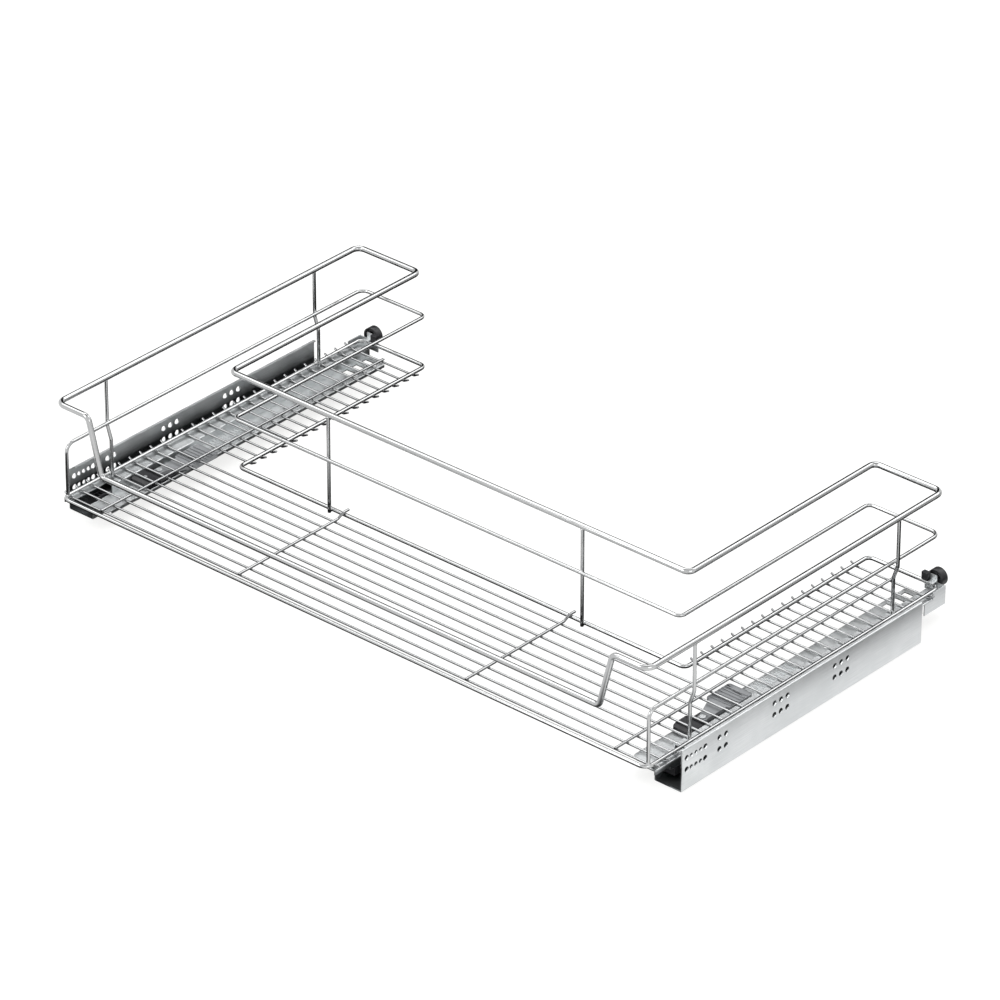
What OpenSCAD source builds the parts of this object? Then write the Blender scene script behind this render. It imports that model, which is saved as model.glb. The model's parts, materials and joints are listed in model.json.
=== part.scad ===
// Under-sink pull-out basket: a welded wire basket with a cut-out for the drain,
// carried by two hidden full-extension roller slides.
// X runs across the cabinet, Y from the door to the back, Z up from the slides' underside.

/* [Cabinet] */
// Clear width between the cabinet sides, face to face of the two rails
cabinet_w = 864; // [700:1:1164]
// Space from a cabinet side to the centre of the basket's side wire
side_space = 21.25; // [20.5:0.05:24]

/* [Basket outline] */
// Front to back, centre to centre of the top rail
basket_depth = 474; // [460:1:600]
// Width of one arm of the U, centre to centre of the floor frame
arm_w = 95.7; // [85:0.1:130]
// How much narrower the arm is at the top rail
top_arm_less = 4.7; // [0:0.1:12]
// How much narrower the arm is at the middle rail
mid_arm_less = 1.4; // [0:0.1:8]
// Depth of the part in front of the drain cut-out, to its posts
front_zone = 171.5; // [150:0.5:210]
// Floor frame's front wire behind the top rail
frame_set_back = 1.2; // [0:0.1:4]
// Middle rail's front legs behind the top rail
leg_set_back = 7.2; // [6:0.1:9]
// Floor frame's rear wires behind those of the top rail
frame_rear_more = 2.5; // [0:0.1:3]
// Middle rail's rear wires behind those of the top rail
mid_rear_more = 2; // [0:0.1:2.4]

/* [Basket heights] */
// Centre of the floor frame above the slides' underside
frame_z = 34.5; // [33:0.1:45]
// Middle rail above the floor frame
mid_rise = 64; // [50:0.5:75]
// Top rail above the floor frame
top_rise = 117; // [100:0.5:140]
// Bottom of the front dip above the floor frame
dip_rise = 49.6; // [30:0.1:70]

/* [Front dip] */
// Where the dip leaves the top rail, in from its corner
dip_inset = 45.5; // [30:0.5:80]
// How far the dip slants inward on its way down
dip_slant = 17.5; // [5:0.5:30]

/* [Wires] */
// Top rail
top_d = 6.5; // [5:0.1:8]
// Middle rail
mid_d = 4; // [3:0.1:5]
// Floor frame
frame_d = 4.5; // [4:0.1:6]
// Posts
post_d = 4; // [3:0.1:5]
// Floor wires
floor_d = 2.5; // [2:0.1:3.2]
// Long wires that carry the floor wires
support_d = 3; // [2.5:0.1:4]
// Depth to which welded wires sink into each other
weld = 0.3; // [0.2:0.05:0.5]
// Bend in the corners of the rails
corner_bend = 10; // [8:0.5:14]
// Bend in the corners of the drain cut-out
inner_bend = 7; // [5:0.5:10]
// Bend at the ends of the floor wires
tip_bend = 3; // [2:0.1:4]
// Bends in a front support wire
support_bend = 6; // [4:0.5:7]
// Bends in a side post
post_bend = 6; // [4:0.5:8]

/* [Floor] */
// First floor wire behind the top rail
floor_start = 12.9; // [10:0.1:20]
// Floor wire spacing
floor_pitch = 16.44; // [12:0.02:24]
// How far the floor wires' ends reach past the frame's centre
tip_reach = 7.5; // [6.5:0.1:8]
// How far those ends rise
tip_rise = 3.4; // [3:0.1:5]
// Front support wires each side of the middle
front_support_x = 160; // [60:1:240]
// Arm support wires in from the side wire
arm_support_in = 49; // [45:0.5:56]
// How far a front support wire hooks past the wire that it lies on
support_past = 6.5; // [4:0.1:9]

/* [Posts] */
// Front side posts behind the top rail
front_post_y = 73.5; // [66:0.5:76]
// Rear side posts in front of the top rail's rear wires
rear_post_in = 72; // [71:0.5:79]
// Posts at the drain cut-out each side of the middle
inner_post_x = 178.5; // [80:0.5:260]
// Where the side posts start to step inward, below the middle rail
step_start = 5; // [3:0.5:12]
// Height over which the side posts step inward
step_h = 16; // [10:0.5:24]

/* [Cabinet rail] */
// Front end of the rail behind the top rail
rail_front = 32; // [20:0.5:44]
// Length of the rail
rail_l = 388; // [380:1:415]
// Height of the flange that is screwed to the cabinet side
flange_h = 49.4; // [45:0.1:60]
// Width of the rail's channel
channel_w = 36; // [35:0.1:37]
// Height of the channel's inner lip
lip_h = 12.9; // [9:0.1:14]
// Stiffening fold along the flange's top
top_fold = 4; // [3:0.1:8]
// Sheet of the cabinet rail
rail_t = 1.5; // [1.2:0.1:1.8]

/* [Screw holes] */
// Hole for a cabinet screw
screw_hole_d = 6.4; // [5:0.1:7]
// Small pilot hole
pilot_d = 5; // [3:0.1:5.2]
// Lower row of holes above the underside
row_z = 24.5; // [18:0.1:28]
// Rows apart
row_step = 13.7; // [9:0.1:15]
// Columns apart within a group
column_step = 10.4; // [9:0.1:11]
// First column behind the rail's front end
first_column = 7.2; // [6:0.1:10]
// First to last column of the front group
front_group_l = 29; // [27:0.5:31]
// Second group behind the rail's front end
second_group = 58.5; // [50:0.5:70]
// Third group behind the rail's front end
third_group = 146; // [120:0.5:170]
// Last group behind the rail's front end
last_group = 243.5; // [210:0.5:300]

/* [Running rails] */
// Sheet of the intermediate rail and the drawer member
slide_t = 1.2; // [1:0.1:1.3]
// Front end of the intermediate rail's steel section behind the top rail
middle_front = 58; // [50:1:58]
// Length of that section
middle_l = 350; // [338:1:350]
// Height of the intermediate rail
middle_h = 14.9; // [13:0.1:15.2]
// Diameter of the lower rollers
lower_roller_d = 6.1; // [5.5:0.1:6.4]
// Clearance of a roller to its track, each side
roller_play = 0.15; // [0.05:0.05:0.3]
// Clearance between pieces that slide past each other
slide_gap = 0.4; // [0.3:0.05:0.4]
// Room between the drawer member and the floor wires that lie on it
seat_gap = 0.2; // [0.1:0.05:0.4]
// Outer side of the drawer member from the cabinet side
member_outer = 16; // [15.5:0.1:16.4]
// Front end of the drawer member behind the top rail
member_front = 9; // [4:1:12]
// Inner edge of the drawer member's plate from the cabinet side
plate_reach = 62.5; // [59:0.5:66]
// Height of the plate's upper face
plate_z = 20.4; // [19.6:0.1:20.6]
// Front end of the plate behind the top rail
plate_front = 70; // [68:1:86]
// Depth over which the drawer member is only a narrow angle at the front
narrow_l = 62; // [40:1:67]
// Inner edge of that angle from the cabinet side
narrow_reach = 27; // [24:0.5:30]
// How far the plate ends in front of the drawer member's rear end
plate_less = 5; // [4:1:19]
// Downward fold along the plate's inner edge
plate_fold = 4; // [2:0.1:6]
// How far its outer wall ends in front of the same end
outer_wall_less = 32; // [31:1:39]
// Cross ribs pressed into the plate behind the clip
plate_ribs = 14; // [6:1:16]
// First of those ribs behind the top rail
plate_ribs_y = 206; // [200:1:215]
// Ribs apart
plate_rib_step = 4.6; // [4:0.1:5]
// Width of a rib
plate_rib_w = 1.6; // [1.2:0.1:2]
// Height of a rib
plate_rib_h = 0.8; // [0.5:0.1:1.2]
// Windows in the plate's rear end
plate_windows = 3; // [1:1:4]
// Windows apart
plate_window_step = 15.5; // [14:0.1:17]
// Length of a window
plate_window_l = 10; // [7:0.1:11]
// Small hole in the plate behind the top rail
plate_hole_y = 322; // [240:1:370]
// Diameter of that hole
plate_hole_d = 5; // [3:0.5:8]

/* [Roller cages] */
// Lower rollers in a cage
lower_count = 6; // [4:1:6]
// Upper rollers in a cage
upper_count = 7; // [4:1:7]
// Spacing of the rollers
roller_pitch = 24; // [18:1:24]
// Length of a roller
roller_l = 7; // [6:0.5:8]
// Clearance of a roller in its window
window_gap = 0.3; // [0.2:0.05:0.5]
// Width of a cage
cage_w = 12; // [10.5:0.1:12]
// Thickness of a cage
cage_t = 2.2; // [1.6:0.1:3]
// Front end of the lower cages behind the top rail
lower_cage_y = 136; // [134:1:140]
// Front end of the upper cages behind the top rail
upper_cage_y = 158; // [156:1:166]

/* [Front clip] */
// Front end of the clip behind the top rail
clip_front = 90; // [88:0.5:94]
// Length of the clip's base
clip_l = 54; // [52:0.5:60]
// Thickness of the clip's base
clip_base_t = 2.4; // [2:0.1:2.5]
// Length of the clip's front block
clip_block_l = 22; // [21:0.5:24]
// Height of the clip's front block above the plate
clip_block_h = 8.8; // [8.4:0.1:9]
// Pivot of the release lever behind the clip's front end
lever_pivot = 32; // [30:0.5:34]
// Pivot of the lever to its far end
lever_reach = 70; // [66:0.5:74]
// Thickness of the lever
lever_t = 4.4; // [3.6:0.1:4.6]
// Width of the lever's grip
grip_w = 32; // [28:0.5:34]
// How far the grip's middle lies inward of the pivot
grip_in = 7; // [6:0.5:8]
// Length of the lever's grip
grip_l = 38; // [34:0.5:40]
// Grip ribs apart
rib_pitch = 5.2; // [4:0.1:7]
// Height of a grip rib
rib_h = 1.2; // [0.8:0.1:1.3]
// Pins that the lever and the height wheel turn on
pin_d = 4; // [3:0.1:4.4]
// Running clearance on the pins, on the radius
pin_play = 0.05; // [0.02:0.01:0.1]
// Diameter of the height wheel
wheel_d = 13.4; // [12:0.1:15]
// Thickness of the height wheel
wheel_t = 4; // [3.2:0.1:4.2]
// Grooves round the height wheel
wheel_grooves = 16; // [10:1:20]

/* [Rear hook] */
// Sheet of the hook
hook_t = 1.2; // [1:0.1:1.3]
// Reach of the hook's side wall in front of the drawer member's rear end
hook_reach = 29; // [24:0.5:30]
// Underside of the hook's side wall
hook_low = 15; // [8:0.1:16]
// Height of the side wall's rear part
hook_high = 37; // [33:0.1:40]
// Tongue that reaches over the basket's rear wire
tongue_w = 8; // [6:0.5:12]
// Centre of the tilt knob above the floor frame's centre
knob_rise = 4.6; // [4:0.1:7]
// Centre of the tilt knob from the cabinet side
knob_in = 31; // [29:0.1:32]
// Diameter of the tilt knob
knob_d = 20.5; // [19:0.5:22]
// Thickness of the knob's rim
knob_rim = 2.4; // [1.8:0.1:3]
// Length of the knob
knob_l = 9; // [7:0.5:11]
// Spokes in the knob
knob_spokes = 5; // [3:1:8]
// Width of a spoke
spoke_w = 1.6; // [1.2:0.1:2.4]
// Size of the cap on the hook's inner corner
cap_w = 8.4; // [7:0.1:9]

/* [Buffer] */
// Length of the rubber buffer that the intermediate rail closes against
buffer_l = 9; // [6:0.5:9.5]

/* [Hidden] */
$fn = 48;
eps = 0.01;

// Half widths, all measured to wire centres
wall_x = cabinet_w / 2;
frame_x = wall_x - side_space;
post_low_x = frame_x - (frame_d + post_d) / 2 + weld;
top_x = frame_x + 1.25;
post_x = top_x;
mid_x = post_x - (mid_d + post_d) / 2 + weld;
frame_arm_x = frame_x - arm_w;
top_arm_x = top_x - arm_w + top_arm_less;
mid_arm_x = mid_x - arm_w + mid_arm_less;

// Wires across the front of the drain cut-out, set against its posts
mid_cut_y = front_zone - (mid_d + post_d) / 2 + weld;
frame_cut_y = front_zone + (frame_d + post_d) / 2 - weld;
top_cut_y = front_zone + 0.9;

// Heights of wire centres
mid_z = frame_z + mid_rise;
top_z = frame_z + top_rise;
dip_z = frame_z + dip_rise;
post_top = top_z - top_d / 2 + 1;
floor_z = frame_z - (frame_d + floor_d) / 2 + weld;
support_z = floor_z + (floor_d + support_d) / 2 - weld;
hook_over_z = frame_z + (frame_d + support_d) / 2 - weld;
tip_corner = 1;

// Floor wire rows: those in front of the cut-out run right across, the rest cross the arms
row_count = floor((basket_depth - floor_start - floor_pitch / 2) / floor_pitch) + 1;
floor_rows = [for (i = [0 : row_count - 1]) floor_start + i * floor_pitch];
long_rows = [for (y = floor_rows) if (y < frame_cut_y - floor_pitch / 2) y];
arm_rows = [for (y = floor_rows) if (y > frame_cut_y + floor_pitch / 2) y];

// Slide section, from the cabinet side inward and upward
member_top = floor_z - floor_d / 2 - seat_gap;
outer_wall_short = 5.4;
middle_inner = channel_w - rail_t - slide_gap + 0.1;
middle_w = middle_inner - member_outer - slide_gap - slide_t;
member_inner = middle_inner + slide_gap + slide_t;
middle_low = rail_t + lower_roller_d + 2 * roller_play;
middle_top = middle_low + middle_h;
upper_roller_d = member_top - slide_t - middle_top - 2 * roller_play;
hook_z = middle_top - 2 * slide_t - 1;
hook_in = 5.5;
roller_x = wall_x - middle_inner + middle_w / 2;
fold_more = 0.02;
fold_past = 1;

// Lengths and places along Y
rail_rear = rail_front + rail_l;
tab_t = rail_t;
tab_y = rail_rear - 0.3 - tab_t;
buffer_y = tab_y - slide_gap / 2 - buffer_l;
guide_l = 11;
guide_nose = 16;
rear_post_y = basket_depth - rear_post_in;
plate_rear = basket_depth - plate_less;
outer_wall_rear = basket_depth - outer_wall_less;
hook_front = basket_depth - hook_reach;
rear_wire_back = basket_depth + frame_rear_more + frame_d / 2;
hook_back = rear_wire_back + 0.5;
knob_front = hook_back + hook_t + slide_gap;

// Front clip on the plate
clip_x = wall_x - member_inner - 0.8;
clip_w = plate_reach - member_inner - 1.5;
pivot_x = clip_x - clip_w / 2 + 0.8;
pivot_y = clip_front + lever_pivot;
wheel_x = clip_x - clip_w / 2 + 0.8;
wheel_y = clip_front + clip_block_l / 2;
clip_low = plate_z + clip_base_t;
lever_z = clip_low + 0.3;
grip_x = pivot_x - grip_in;
wheel_z = clip_low + 0.4;
pin_head_d = pin_d + 3;
pin_head_t = 1.2;

// The origin lies under the middle of the whole unit
front_y = -top_d / 2;
rear_y = knob_front + knob_l;
middle_of_depth = (front_y + rear_y) / 2;

function unit(v) = v / norm(v);

// Length that a bend takes off each straight beside its corner
function bend_run(u, v, r) = r * tan(acos(max(-1, min(1, u * v))) / 2);

module on_axes(p, ex, ey, ez) {
    multmatrix([[ex.x, ey.x, ez.x, p.x], [ex.y, ey.y, ez.y, p.y], [ex.z, ey.z, ez.z, p.z], [0, 0, 0, 1]])
        children();
}

// Straight round rod between two points
module rod(a, b, d) {
    ez = unit(b - a);
    ex = unit(cross(abs(ez.z) > 0.9 ? [0, 1, 0] : [0, 0, 1], ez));
    on_axes(a, ex, cross(ez, ex), ez) cylinder(h = norm(b - a), d = d);
}

// Bend at corner p, arriving along u and leaving along v
module elbow(p, u, v, r, d) {
    turn = acos(max(-1, min(1, u * v)));
    start = p - u * bend_run(u, v, r);
    centre = p + unit(v - u) * r / cos(turn / 2);
    ex = unit(start - centre);
    on_axes(centre, ex, u, cross(ex, u)) rotate_extrude(angle = turn) translate([r, 0]) circle(d = d);
}

// A slanted bend is made this much thicker and is entered this far, so that the rods join it cleanly
bend_more = 0.02;
bend_entry = 0.05;
function slanted(u, v) = abs(u * v) > 0.001;

// Round wire that runs straight between its points, with a bend radius for each point but its ends
module wire(points, d, bends) {
    last = len(points) - 1;
    way = [for (i = [0 : last - 1]) unit(points[i + 1] - points[i])];
    slant = [for (i = [0 : last]) i > 0 && i < last && slanted(way[i - 1], way[i])];
    run = [for (i = [0 : last])
        i == 0 || i == last ? 0 : bend_run(way[i - 1], way[i], bends[i]) - (slant[i] ? bend_entry : 0)];
    for (i = [0 : last - 1]) rod(points[i] + way[i] * run[i], points[i + 1] - way[i] * run[i + 1], d);
    for (i = [1 : last - 1]) elbow(points[i], way[i - 1], way[i], bends[i], d + (slant[i] ? bend_more : 0));
}

// Extrudes a section drawn in X and Z from y0 to y1
module along_y(y0, y1) {
    translate([0, y1, 0]) rotate([90, 0, 0]) linear_extrude(y1 - y0) children();
}

// Sheet folded square along a list of points in X and Z, from y0 to y1, with each fold rounded outside
module folded(points, t, y0, y1) {
    last = len(points) - 1;
    way = [for (i = [0 : last - 1]) unit(points[i + 1] - points[i])];
    difference() {
        union() for (i = [0 : last - 1]) {
            a = points[i] - way[i] * (i == 0 ? 0 : t / 2);
            b = points[i + 1] + way[i] * (i == last - 1 ? 0 : t / 2);
            side = [-way[i].y, way[i].x] * t / 2;
            along_y(y0, y1) polygon([a + side, b + side, b - side, a - side]);
        }
        for (i = [1 : last - 1]) {
            u = way[i - 1];
            v = way[i];
            past = t + fold_past;
            along_y(y0 - fold_past, y1 + fold_past) translate(points[i] + (v - u) * t / 2) difference() {
                polygon([[0, 0], u * past, (u - v) * past, -v * past]);
                circle(t + fold_more);
            }
        }
    }
}

// Box between two corners
module block(low, high) {
    translate(low) cube(high - low);
}

// The same with its four upright edges rounded
module rounded(low, high, r) {
    union() {
        block([low.x + r, low.y, low.z], [high.x - r, high.y, high.z]);
        block([low.x, low.y + r, low.z], [high.x, high.y - r, high.z]);
        for (x = [low.x + r, high.x - r], y = [low.y + r, high.y - r])
            translate([x, y, low.z]) cylinder(h = high.z - low.z, r = r);
    }
}

// Puts a piece drawn for the right-hand slide on either side
module on_side(left) {
    translate([0, -middle_of_depth, 0]) mirror([left ? 1 : 0, 0, 0]) children();
}

module in_place() {
    translate([0, -middle_of_depth, 0]) children();
}

// Cabinet rail: flange, channel, holes for the cabinet screws and the rear tab
function screw_columns() = concat(
    [first_column, first_column + front_group_l],
    [for (i = [0, 1]) second_group + i * column_step],
    [for (i = [0 : 2]) third_group + i * column_step],
    [for (i = [0 : 2]) last_group + i * column_step]);
function pilot_columns() = [for (i = [1 : 3]) first_column + i * front_group_l / 4];

module flange_hole(y, z, d) {
    translate([wall_x - rail_t - 1, rail_front + y, z]) rotate([0, 90, 0]) cylinder(h = rail_t + 2, d = d);
}

module cabinet_rail() {
    half = rail_t / 2;
    color("#c6c9ca") difference() {
        union() {
            folded([[wall_x - channel_w + half, lip_h], [wall_x - channel_w + half, half],
                [wall_x - half, half], [wall_x - half, flange_h - half],
                [wall_x - top_fold, flange_h - half]], rail_t, rail_front, rail_rear);
            block([wall_x - middle_inner, tab_y, half], [wall_x - member_outer - 2, tab_y + tab_t, lip_h]);
        }
        block([wall_x - top_fold - 1, rail_front - 1, flange_h - 2 * rail_t],
            [wall_x - rail_t - eps, rail_front + first_column, flange_h + 1]);
        for (y = screw_columns(), z = [row_z, row_z + row_step]) flange_hole(y, z, screw_hole_d);
        for (y = pilot_columns(), z = [row_z, row_z + row_step]) flange_hole(y, z, pilot_d);
    }
}

module closing_buffer() {
    color("#202022") block([wall_x - middle_inner + 1, buffer_y, rail_t + 0.1],
        [wall_x - member_outer - 3, buffer_y + buffer_l, lip_h - 1.5]);
}

// Intermediate rail: a C-section that runs in the channel and carries the drawer member
module intermediate_rail() {
    half = slide_t / 2;
    web = wall_x - middle_inner + half;
    tip = web + middle_w - slide_t;
    color("#b9bcbd") folded([[tip, middle_low + 4], [tip, middle_low + half], [web, middle_low + half],
        [web, middle_top - half], [tip + half, middle_top - half]],
        slide_t, middle_front, middle_front + middle_l);
}

// Nylon guide that closes the front end of the intermediate rail
module rail_guide() {
    low = [wall_x - middle_inner, middle_front - 0.2 - guide_nose, middle_low];
    high = [low.x + middle_w, middle_front - 0.2, middle_top];
    clear = hook_z - slide_t / 2 - slide_gap;
    color("#1c1c1e") difference() {
        union() {
            block(low, high);
            block([low.x + slide_t + 0.5, middle_front - 1, middle_low + slide_t + 0.5],
                [high.x - hook_in, middle_front + guide_l, clear]);
        }
        // Way for the drawer member's hook
        block([low.x + middle_w - hook_in - 1, low.y - 1, clear], [high.x + 1, high.y + 1, middle_top + 1]);
        // Pockets in the top
        for (i = [0 : 2]) block([low.x + 1.6, low.y + 1.4 + i * 4.8, clear],
            [low.x + middle_w - hook_in - 2.6, low.y + 4.8 + i * 4.8, middle_top + 1]);
    }
}

// A cage is a flat strip with a window for each roller
module cage(y0, z, count, d) {
    length = count * roller_pitch;
    color("#e4e2da") difference() {
        block([roller_x - cage_w / 2, y0, z - cage_t / 2],
            [roller_x + cage_w / 2, y0 + length, z + cage_t / 2]);
        for (i = [0 : count - 1]) {
            y = y0 + (i + 0.5) * roller_pitch;
            block([roller_x - roller_l / 2 - window_gap, y - d / 2 - window_gap, z - cage_t],
                [roller_x + roller_l / 2 + window_gap, y + d / 2 + window_gap, z + cage_t]);
        }
    }
}

module rollers(y0, z, count, d) {
    color("#f0efe9") for (i = [0 : count - 1])
        translate([roller_x - roller_l / 2, y0 + (i + 0.5) * roller_pitch, z])
            rotate([0, 90, 0]) cylinder(h = roller_l, d = d);
}

lower_roller_z = rail_t + roller_play + lower_roller_d / 2;
upper_roller_z = middle_top + roller_play + upper_roller_d / 2;

module lower_cage() {
    cage(lower_cage_y, lower_roller_z, lower_count, lower_roller_d);
}

module lower_rollers() {
    rollers(lower_cage_y, lower_roller_z, lower_count, lower_roller_d);
}

module upper_cage() {
    cage(upper_cage_y, upper_roller_z, upper_count, upper_roller_d);
}

module upper_rollers() {
    rollers(upper_cage_y, upper_roller_z, upper_count, upper_roller_d);
}

// Drawer member: a hat over the intermediate rail with a plate inside the basket's side
module drawer_member() {
    half = slide_t / 2;
    outer = wall_x - member_outer - half;
    inner = wall_x - member_inner + half;
    edge = wall_x - plate_reach + half;
    top = member_top - half;
    color("#c2c4c2") difference() {
        union() {
            folded([[outer - hook_in, hook_z], [outer, hook_z], [outer, top], [inner, top],
                [inner, plate_z - half], [edge, plate_z - half], [edge, plate_z - plate_fold]],
                slide_t, member_front, basket_depth);
            for (i = [0 : plate_ribs - 1]) {
                y = plate_ribs_y + i * plate_rib_step;
                block([edge + 3, y, plate_z - half], [inner - 3, y + plate_rib_w, plate_z + plate_rib_h]);
            }
        }
        // Front relief of the outer wall
        block([inner + slide_t, member_front - 1, hook_z - slide_t],
            [outer + 1, rail_front + 2, member_top - outer_wall_short]);
        // The outer wall stops short of the rear hook, and the top makes room for the hook's raised part
        block([inner + slide_t, outer_wall_rear, hook_z - slide_t],
            [outer + 1, basket_depth + 1, member_top - slide_t - 0.05]);
        block([wall_x - member_outer - hook_t - slide_gap, behind_rows - slide_gap, hook_z - slide_t],
            [outer + 1, basket_depth + 1, member_top + 1]);
        // Only a narrow angle at the front
        block([edge - 1, member_front - 1, plate_z - plate_fold - 1],
            [wall_x - narrow_reach, narrow_l, member_top + 1]);
        // The plate is shorter than the rest
        for (y = [[member_front - 1, plate_front], [plate_rear, basket_depth + 1]])
            block([edge - 1, y[0], plate_z - plate_fold - 1], [inner + slide_t, y[1], plate_z + eps]);
        translate([(inner + edge) / 2, plate_hole_y, plate_z - 2 * slide_t])
            cylinder(h = 3 * slide_t, d = plate_hole_d);
        for (i = [1 : plate_windows]) {
            y = plate_rear - i * plate_window_step;
            block([edge + 5, y, plate_z - 2 * slide_t], [inner - 4, y + plate_window_l, plate_z + 1]);
        }
        for (p = [[pivot_x, pivot_y], [wheel_x, wheel_y]])
            translate([p.x, p.y, plate_z - 2 * slide_t]) cylinder(h = 3 * slide_t, d = pin_d + 2 * pin_play);
    }
}

// Rear hook: holds the basket's rear wire down and carries the tilt knob and a cap on its corner
knob_x = wall_x - knob_in;
knob_z = frame_z + knob_rise;
hook_inner = knob_x - tongue_w / 2 - cap_w;
hook_over = frame_z + frame_d / 2 + 0.3;
behind_rows = max(hook_front, floor_rows[row_count - 1] + floor_d / 2 + 1.2);
hook_top = hook_over + cap_w - 1;

module rear_hook() {
    outer = wall_x - member_outer;
    under_top = member_top - slide_t - 0.1;
    rear = hook_back + hook_t;
    color("#bcbfc0") {
        block([outer - hook_t, hook_front, hook_low], [outer, rear, under_top]);
        block([outer - hook_t, behind_rows, hook_low], [outer, rear, hook_high]);
        block([wall_x - member_inner + slide_t + 0.2, hook_front, under_top - hook_t],
            [outer, rear, under_top]);
        block([hook_inner, hook_back, middle_top + 1], [outer, rear, frame_z + 2]);
        block([hook_inner, hook_back, frame_z], [knob_x + tongue_w / 2, rear, hook_top]);
        block([knob_x - tongue_w / 2, rear_wire_back - 1.5 * frame_d, hook_over],
            [knob_x + tongue_w / 2, rear, hook_over + hook_t]);
        translate([knob_x, hook_back + hook_t / 2, knob_z]) rotate([-90, 0, 0])
            cylinder(h = knob_l, d = pin_d);
    }
}

// Cap pressed on the hook's upper inner corner, above the basket's rear wire
module hook_cap() {
    low = [hook_inner - 1.2, rear_wire_back - frame_d, hook_over];
    fit = 0.05;
    color("#19191b") difference() {
        rounded(low, [low.x + cap_w, hook_back + hook_t, low.z + cap_w], 1.2);
        block([hook_inner - fit, hook_back - fit, low.z - 1],
            [low.x + cap_w + 1, hook_back + hook_t + 1, hook_top + fit]);
    }
}

module tilt_knob() {
    hub_d = pin_d + 4;
    spoke_l = knob_d / 2 - hub_d / 2 + 1 - knob_rim / 2;
    color("#19191b") translate([knob_x, knob_front, knob_z]) rotate([-90, 0, 0])
        difference() {
            union() {
                difference() {
                    cylinder(h = knob_l, d = knob_d);
                    translate([0, 0, -1]) cylinder(h = knob_l + 2, d = knob_d - 2 * knob_rim);
                }
                cylinder(h = knob_l, d = hub_d);
                for (i = [0 : knob_spokes - 1]) rotate([0, 0, i * 360 / knob_spokes])
                    translate([hub_d / 2 - 1, -spoke_w / 2, 1]) cube([spoke_l, spoke_w, knob_l - 3]);
            }
            translate([0, 0, -1]) cylinder(h = knob_l + 2, d = pin_d + 2 * pin_play);
        }
}

// Front clip: base and front block, the lever that frees the basket, and the height wheel
module clip_housing() {
    bore = pin_d + 2 * pin_play;
    low = [clip_x - clip_w, clip_front, plate_z];
    top = plate_z + clip_block_h;
    nose = 5;
    color("#1e1e20") difference() {
        union() {
            rounded(low, [clip_x, clip_front + clip_l, clip_low], 2);
            rounded(low, [clip_x, clip_front + clip_block_l, top], 2);
        }
        // Sloping nose
        translate([low.x - 1, low.y, top - nose / 2]) rotate([0, 90, 0]) linear_extrude(clip_w + 2)
            polygon([[0, -1], [0, 0], [-nose / 2, nose], [-nose, nose], [-nose, -1]]);
        // Slot in which the height wheel turns
        translate([wheel_x, wheel_y, wheel_z - 0.4]) cylinder(h = wheel_t + 0.8, d = wheel_d + 1);
        block([clip_x - clip_w - 1, wheel_y - wheel_d / 2 - 0.5, wheel_z - 0.4],
            [wheel_x, wheel_y + wheel_d / 2 + 0.5, wheel_z + wheel_t + 0.4]);
        for (p = [[pivot_x, pivot_y], [wheel_x, wheel_y]])
            translate([p.x, p.y, plate_z - 1]) cylinder(h = clip_block_h + 2, d = bore);
    }
}

module clip_pin(x, y, top) {
    foot = plate_z - slide_t - 0.1 - pin_head_t;
    translate([x, y, foot]) cylinder(h = pin_head_t, d = pin_head_d);
    translate([x, y, foot]) cylinder(h = top - foot, d = pin_d);
}

module clip_pins() {
    lever_top = lever_z + lever_t + 0.3;
    color("#d5d7d8") {
        clip_pin(pivot_x, pivot_y, lever_top + pin_head_t);
        translate([pivot_x, pivot_y, lever_top]) cylinder(h = pin_head_t, d = pin_head_d);
        clip_pin(wheel_x, wheel_y, plate_z + clip_block_h);
    }
}

module release_lever() {
    grip_y = pivot_y + lever_reach - grip_l;
    left = grip_x - grip_w / 2;
    right = grip_x + grip_w / 2;
    half = pin_d / 2 + 3.5;
    rib_count = floor((grip_l - 7) / rib_pitch);
    color("#3b3b3e") difference() {
        union() {
            translate([pivot_x, pivot_y, lever_z]) cylinder(h = lever_t, r = half);
            // The arm widens towards the grip
            translate([0, 0, lever_z]) linear_extrude(lever_t) polygon([[pivot_x - half + 0.4, pivot_y],
                [pivot_x + half - 0.4, pivot_y], [pivot_x + half - 0.4, grip_y - 4], [right - 4, grip_y + 1],
                [right - 4, grip_y + 4], [left + 4, grip_y + 4], [left + 4, grip_y + 1]]);
            rounded([left, grip_y, lever_z], [right, grip_y + grip_l, lever_z + lever_t], 3.5);
            for (i = [0 : rib_count]) block([left + 1, grip_y + 3 + i * rib_pitch, lever_z],
                [right - 1, grip_y + 5 + i * rib_pitch, lever_z + lever_t + rib_h]);
        }
        translate([pivot_x, pivot_y, lever_z - 1]) cylinder(h = lever_t + 2, d = pin_d + 2 * pin_play);
    }
}

module height_wheel() {
    color("#6d6f70") difference() {
        translate([wheel_x, wheel_y, wheel_z]) cylinder(h = wheel_t, d = wheel_d);
        translate([wheel_x, wheel_y, wheel_z - 1]) cylinder(h = wheel_t + 2, d = pin_d + 2 * pin_play);
        for (i = [0 : wheel_grooves - 1]) translate([wheel_x, wheel_y, wheel_z - 1])
            rotate([0, 0, i * 360 / wheel_grooves]) translate([wheel_d / 2 + 0.3, 0, 0])
                cylinder(h = wheel_t + 2, d = 1.6);
    }
}

// Wire basket: each rail is half a loop from the middle of the cut-out, mirrored
module both_sides() {
    children();
    mirror([1, 0, 0]) children();
}

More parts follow.
